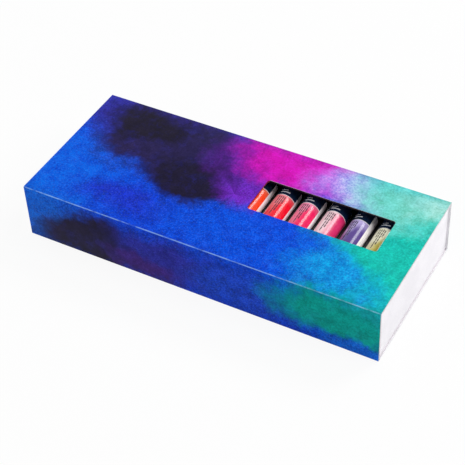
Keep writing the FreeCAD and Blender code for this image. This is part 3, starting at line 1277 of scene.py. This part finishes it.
UPPER_ROW = (
    Paint("white", (226, 226, 222), (244, 244, 242)),
    Paint("lemon", (244, 222, 50), (250, 242, 170), 2),
    Paint("yellow", (246, 196, 20), (250, 232, 150), 22),
    Paint("gold", (236, 158, 20), (248, 214, 140), -3),
    Paint("ochre", (196, 138, 50), (232, 206, 150), 17),
    Paint("peach", (242, 150, 96), (250, 212, 184), 8),
    Paint("orange", (246, 66, 20), (252, 146, 116), 6),
    Paint("red", (236, 6, 40), (250, 140, 150), 15),
    Paint("crimson", (234, 24, 92), (250, 150, 184), 10, 0.85),
    Paint("rose", (224, 48, 108), (252, 226, 232), 42, 1.0, -4, -30),
    Paint("violet", (86, 64, 138), (188, 174, 226), -6, 0.4, 8),
    Paint("olive", (188, 172, 44), (248, 246, 218), 14, 0.7, 9, -10),
)
LOWER_ROW = (
    Paint("purple", (86, 30, 112), (196, 160, 214), 4),
    Paint("indigo", (36, 42, 104), (160, 168, 210), 20),
    Paint("blue", (24, 60, 172), (150, 180, 232), 0),
    Paint("azure", (20, 120, 208), (160, 210, 240), 16),
    Paint("turquoise", (20, 156, 170), (164, 224, 226), 10),
    Paint("emerald", (14, 126, 88), (156, 214, 190), 26),
    Paint("green", (44, 132, 50), (176, 216, 160), -2),
    Paint("moss", (94, 110, 36), (204, 210, 156), 14),
    Paint("sienna", (156, 70, 34), (224, 178, 150), 6),
    Paint("umber", (84, 52, 34), (190, 166, 146), 18),
    Paint("grey", (98, 102, 108), (198, 200, 206), 2),
    Paint("black", (24, 24, 28), (150, 150, 156), 12),
)


@dataclass
class Tubes:
    """The metal tubes and their screw caps.

    The rows of bevel, shoulder_edge, lip, mouth, skirt, crown and recess are steps of a turned
    profile: run and radius in millimetres from the place that they are set at.
    """

    lean: float = -20.0
    radius: float = 8.0 * MM
    tail_y: float = -47.85 * MM
    tail: float = 6.0 * MM
    tail_half: float = 12.33 * MM
    tail_thick: float = 1.1 * MM
    tail_folds: int = 3
    crease: float = 0.26
    tail_power: float = 5.0
    wedge: float = 38.0 * MM
    body: float = 36.0 * MM
    body_short: float = 0.7 * MM
    rings: tuple[int, int, int] = (24, 30, 16)
    first_seed: int = 40
    dent: float = 0.16 * MM
    dent_from: float = 12.0 * MM
    bevel: Rows = ((-0.3, -0.06), (0.05, -0.3), (0.4, -0.8))
    shoulder: float = 3.0 * MM
    shoulder_top: float = 4.6 * MM
    shoulder_edge: Rows = ((-0.3, 0.25), (0.0, 0.0))
    neck: float = 3.8 * MM
    thread_turns: int = 5
    thread_deep: float = 0.35 * MM
    thread_gap: float = 0.6 * MM
    lip: Rows = ((-0.3, -0.3), (0.0, -0.6))
    mouth: Rows = ((0.0, 2.2), (-1.0, 2.0))
    length: float = 91.0 * MM
    cap_y: float = 35.45 * MM
    cap_length: float = 12.7 * MM
    cap_foot: float = 6.2 * MM
    cap_top: float = 5.6 * MM
    cap_bore: float = 3.9 * MM
    cap_roof: float = 4.7 * MM
    cap_turn: float = 0.37
    skirt: Rows = ((0.0, -0.25), (0.25, 0.0), (1.3, -0.05), (1.6, -0.55))
    crown: Rows = ((-1.5, 0.05), (-0.9, 0.0), (-0.4, -0.2), (-0.1, -0.55), (0.0, -1.0))
    recess: Rows = ((0.0, 2.6), (-0.35, 2.2), (-0.35, 0.4))
    pip: float = 0.4 * MM
    flutes: int = 12
    flute_deep: float = 0.5 * MM
    rib: float = 0.95 * MM
    rib_from: float = 1.3 * MM
    around: int = 56
    rows: tuple[tuple[tuple[Paint, ...], float], ...] = ((LOWER_ROW, LOWER_AXIS), (UPPER_ROW, UPPER_AXIS))

    def tube_section(self, run: float) -> Point:
        """Give the tube's section at a distance from its tail.

        Args:
            run: The distance along the tube.

        Returns:
            Half width, half thickness and the power of the rounded outline.
        """
        share = min(max((run - self.tail) / self.wedge, 0.0), 1.0)
        wide = self.tail_half + (self.radius - self.tail_half) * share
        thick = self.tail_thick + (self.radius - self.tail_thick) * share
        if run < self.tail:
            press = abs(math.sin(run / self.tail * math.pi * self.tail_folds))
            thick *= 1 - self.crease + self.crease * press
        return wide, thick, 2 + self.tail_power * (1 - ease(0.0, 0.4, share))

    def tube_stations(self) -> list[float]:
        """Give the distances along the tube at which its mesh has rings.

        Returns:
            The distances from the tail to just before the shoulder's bevel.
        """
        stations, start = [0.0], 0.0
        for length, rings in zip((self.tail, self.wedge, self.body - self.body_short), self.rings):
            stations += [start + length * k / rings for k in range(1, rings + 1)]
            start += length
        return stations

    def head_profile(self) -> list[Pair]:
        """Give the turned shoulder and threaded neck.

        Returns:
            Distance along the tube and radius of each ring.
        """
        start = self.tail + self.wedge + self.body
        top = start + self.shoulder
        profile = profile_at(start, self.radius, self.bevel)
        profile += profile_at(top, self.shoulder_top, self.shoulder_edge)
        profile.append((top, self.neck))
        top += self.thread_gap
        pitch = (self.length - self.thread_gap - top) / self.thread_turns
        for k in range(self.thread_turns):
            profile.append((top + k * pitch, self.neck - self.thread_deep))
            profile.append((top + (k + 0.5) * pitch, self.neck))
        profile += profile_at(self.length, self.neck, self.lip)
        return profile + profile_at(self.length, 0.0, self.mouth)

    def body_points(self, seed: int) -> list[Point]:
        """Set the rings of the tail, the wedge and the round body.

        Args:
            seed: Number for the tube's own soft dents.

        Returns:
            The points of the rings.
        """
        draw = random.Random(seed)
        phase, bends = (0, 6.28), (60, 150)
        waves = [(draw.randint(1, 3), draw.uniform(*phase), draw.uniform(*bends), draw.uniform(*phase))
                 for _ in range(4)]
        round_from = self.tail + self.wedge
        points = []
        for run in self.tube_stations():
            wide, thick, power = self.tube_section(run)
            soft = self.dent * ease(self.tail, self.tail + self.dent_from, run)
            soft *= ease(round_from + self.body * 0.5, self.tail + self.wedge * 0.5, run)
            for i in range(self.around):
                turn = math.tau * i / self.around
                sine, cosine = math.sin(turn), -math.cos(turn)
                swell = sum(1 + math.sin(n * turn + a + run * f + b) for n, a, f, b in waves)
                dent = swell / (2 * len(waves)) * soft
                x = math.copysign(abs(sine) ** (2 / power), sine) * (wide - dent)
                z = math.copysign(abs(cosine) ** (2 / power), cosine) * (thick - dent)
                points.append((-x, run, z))
        return points

    def tube_mesh(self, paint: Paint, seed: int) -> Mesh:
        """Make one tube along Y with its tail at the origin.

        Args:
            paint: The paint in it.
            seed: Number for its own soft dents.

        Returns:
            The tube with its label's map.
        """
        count = self.around
        points = self.body_points(seed)
        head_from = len(points) - count
        for run, radius in self.head_profile():
            points += circle(run, -radius, count)
        rings = len(points) // count
        faces = loops_to_faces(rings, count) + [disc(0, count), disc(rings - 1, count)]
        mesh = mesh_from("tube_" + paint.name, points, faces)
        dress(mesh, TubeLabel("lacquer_" + paint.name, paint), NECK_METAL)
        layer = mesh.uv_layers.new(name=LABEL_UV)
        for face in mesh.polygons:
            corners = [mesh.loops[k].vertex_index for k in face.loop_indices]
            steps = [at % count for at in corners]
            over_seam = len(corners) == 4 and max(steps) - min(steps) > count / 2
            for k, at in zip(face.loop_indices, corners):
                u = at % count / count
                if over_seam and u < 0.5:
                    u += 1.0
                layer.data[k].uv = (u - paint.turn / 360, points[at][1] / self.length)
            face.material_index = int(min(corners) >= head_from)
        smooth(mesh, angle=45)
        return mesh

    def cap_tree(self) -> GeometrySheet:
        """Make the tree that sets grip ribs round a turned cap.

        Returns:
            The tree, with named inputs for the ribs.
        """
        g = GeometrySheet("cap_ribs")
        count, = g.sizes("Rib Count", kind="NodeSocketInt")
        ring, length, thick, start, taper = g.sizes(
            "Ring Radius", "Rib Length", "Rib Radius", "Rib Start", "Taper")
        rib = g.add("GeometryNodeMeshCylinder", {
            "Vertices": 12, "Side Segments": 4, "Fill Segments": 1, "Radius": thick, "Depth": length,
        }, fill_type="TRIANGLE_FAN")
        lying = g.add("GeometryNodeTransform", {"Geometry": rib, "Rotation": (math.pi / 2, 0, 0)})
        tipped = g.add("GeometryNodeTransform", {
            "Geometry": lying, "Rotation": g.row(0.0, 0.0, taper),
            "Translation": g.row(ring, start + length * 0.5, 0.0)})
        row = g.add("GeometryNodeMeshLine", {"Count": count, "Offset": (0, 0, 0)})
        number = g.add("GeometryNodeInputIndex")
        ribs = g.add("GeometryNodeInstanceOnPoints", {
            "Points": row, "Instance": tipped, "Rotation": g.row(0.0, number * math.tau / count, 0.0)})
        joined = g.add("GeometryNodeJoinGeometry", {0: ribs})
        g.feed(joined.socket.node, {0: Wire(g, g.entry.outputs["Geometry"])})
        g.close(joined)
        return g

    def cap_mesh(self) -> Mesh:
        """Make one cap along Y with its foot at the origin.

        Returns:
            The cap, a turned core with ribs round it.
        """
        count, end = self.around, self.cap_length
        outside = [(0.0, self.cap_bore), *profile_at(0.0, self.cap_foot, self.skirt)]
        outside += profile_at(end, self.cap_top - self.flute_deep, self.crown)
        outside += profile_at(end, 0.0, self.recess)
        roof = end - self.cap_roof
        profile = [*outside, (roof, self.pip), (roof, self.cap_bore)]
        points = [point for run, radius in profile for point in circle(run, radius, count)]
        faces = loops_to_faces(len(profile), count, closed=True)
        last = len(outside) - 1
        del faces[last * count:(last + 1) * count]
        faces += [disc(last, count), disc(last + 1, count)]
        core = new_object("cap_core", mesh_from("cap_core", points, faces))
        sizes = {
            "Rib Count": self.flutes, "Ring Radius": (self.cap_foot + self.cap_top) / 2 - self.rib,
            "Rib Length": end - 2 * self.rib_from, "Rib Radius": self.rib, "Rib Start": self.rib_from,
            "Taper": math.atan2(self.cap_foot - self.cap_top, end), "Finish": CAP_PLASTIC.material(),
        }
        mesh = self.cap_tree().plain_mesh(core, sizes)
        smooth(mesh, angle=40)
        return mesh

    def build(self) -> None:
        """Make every tube and cap in its channel."""
        cap = self.cap_mesh()
        lean = Matrix.Rotation(math.radians(self.lean), 4, "Y")
        seed = self.first_seed
        for row, axis in self.rows:
            for i, paint in enumerate(row):
                x = (i - (len(row) - 1) / 2) * PITCH
                mesh = self.tube_mesh(paint, seed)
                seed += 1
                mesh.transform(Matrix.Translation((x, self.tail_y, axis)) @ lean)
                seat(new_object("tube_print_" + paint.name, mesh), "box", "label_" + paint.name,
                     "tube_" + paint.name)
                own = cap.copy()
                turned = Matrix.Rotation(i * self.cap_turn, 4, "Y")
                own.transform(Matrix.Translation((x, self.cap_y, axis)) @ turned)
                seat(new_object("ribbed_cap_" + paint.name, own), "cap_" + paint.name, "cap_plastic",
                     "cap_" + paint.name)
        bpy.data.meshes.remove(cap)


@dataclass(frozen=True)
class Lamp:
    """A soft rectangular lamp that faces the box."""

    name: str
    place: Point
    size: Pair
    power: float
    second_edge: Point = (0.0, 0.0, 1.0)

    def hang(self) -> None:
        """Put the lamp in the studio, with its second size along the edge that is named."""
        data = bpy.data.lights.new(self.name, "AREA")
        data.shape, data.size, data.size_y = "RECTANGLE", *self.size
        data.energy = self.power
        lamp = new_object(self.name, data)
        lamp.location = self.place
        out = Vector(self.place).normalized()
        up = Vector(self.second_edge)
        up = (up - out * out.dot(up)).normalized()
        lamp.rotation_euler = Matrix((up.cross(out), up, out)).transposed().to_euler()


@dataclass
class Studio:
    """Floor, lights, world and the camera of the photograph."""

    azimuth: float = 30.72
    elevation: float = 43.30
    roll: float = 2.95
    focal: float = 1357.1
    distance: float = 991.1 * MM
    slide: Pair = (3.061 * MM, -6.270 * MM)
    sky: float = 0.3
    floor_half: float = 6.0
    floor_drop: float = 0.3 * MM
    lamps: tuple[Lamp, ...] = (
        Lamp("back_lamp", (1.04, 1.82, 2.0), (0.95, 0.95), 38.0, (0.887, 0.0, -0.462)),
        Lamp("right_lamp", (2.4, 0.3, 2.1), (1.2, 1.2), 41.5),
        Lamp("left_lamp", (-1.8, 0.2, 2.2), (1.2, 1.2), 12.0),
        Lamp("front_lamp", (-1.4, -1.7, 0.8), (1.6, 1.6), 14.0),
    )

    def camera(self) -> None:
        """Set the camera where the photograph was taken from."""
        data = bpy.data.cameras.new("photo_camera")
        data.sensor_fit, data.sensor_width = "HORIZONTAL", 36.0
        data.lens = self.focal * data.sensor_width / PHOTO_SIDE
        data.clip_start, data.clip_end = 0.01, 50.0
        turn, lift = math.radians(self.azimuth), math.radians(self.elevation)
        back = Vector((math.sin(turn) * math.cos(lift), -math.cos(turn) * math.cos(lift), math.sin(lift)))
        right = Vector((math.cos(turn), math.sin(turn), 0))
        level = Matrix((right, back.cross(right), back))
        axes = (Matrix.Rotation(math.radians(self.roll), 3, "Z") @ level).transposed()
        offset = Vector((*self.slide, -self.distance))
        camera = new_object("photo_camera", data)
        camera.matrix_world = Matrix.Translation(-(axes @ offset)) @ axes.to_4x4()
        bpy.context.scene.camera = camera

    def floor(self) -> None:
        """Lay the floor just under the box."""
        corners = ((-1, -1), (1, -1), (1, 1), (-1, 1))
        points = [(x * self.floor_half, y * self.floor_half, -self.floor_drop) for x, y in corners]
        mesh = mesh_from("studio_floor", points, [disc(0, len(points))])
        dress(mesh, StudioFloor("studio_floor"))
        new_object("studio_floor", mesh)

    def lights(self) -> None:
        """Hang the soft lamps and a white sky that is seen brighter than it lights."""
        for lamp in self.lamps:
            lamp.hang()
        world = bpy.data.worlds.new("studio_sky")
        world.use_nodes = True
        bpy.context.scene.world = world
        nodes = NodeSheet(world.node_tree)
        nodes.feed(world.node_tree.nodes["Background"], {
            0: (1, 1, 1, 1), 1: nodes.seen() * (1 - self.sky) + self.sky})

    def build(self) -> None:
        """Set up the whole studio."""
        bpy.context.scene.view_settings.view_transform = "Standard"
        self.camera()
        self.floor()
        self.lights()


def dress_solids() -> None:
    """Give the solids that stay in the model their own finishes."""
    finishes = {"paint_fills": PaintPaste("paint_paste"), "flap_magnets": MAGNET_STEEL,
                "wall_magnets": MAGNET_STEEL}
    for node, finish in finishes.items():
        dress(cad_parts[node].data, finish)
        LOG.info("%s keeps its solid", node)


def main() -> None:
    """Build every sub-assembly in order."""
    logging.basicConfig(level=logging.INFO, format="%(name)s: %(message)s")
    Studio().build()
    Cover().build()
    Tray().build()
    Holders().build()
    Tubes().build()
    dress_solids()


if __name__ == "__main__":
    main()
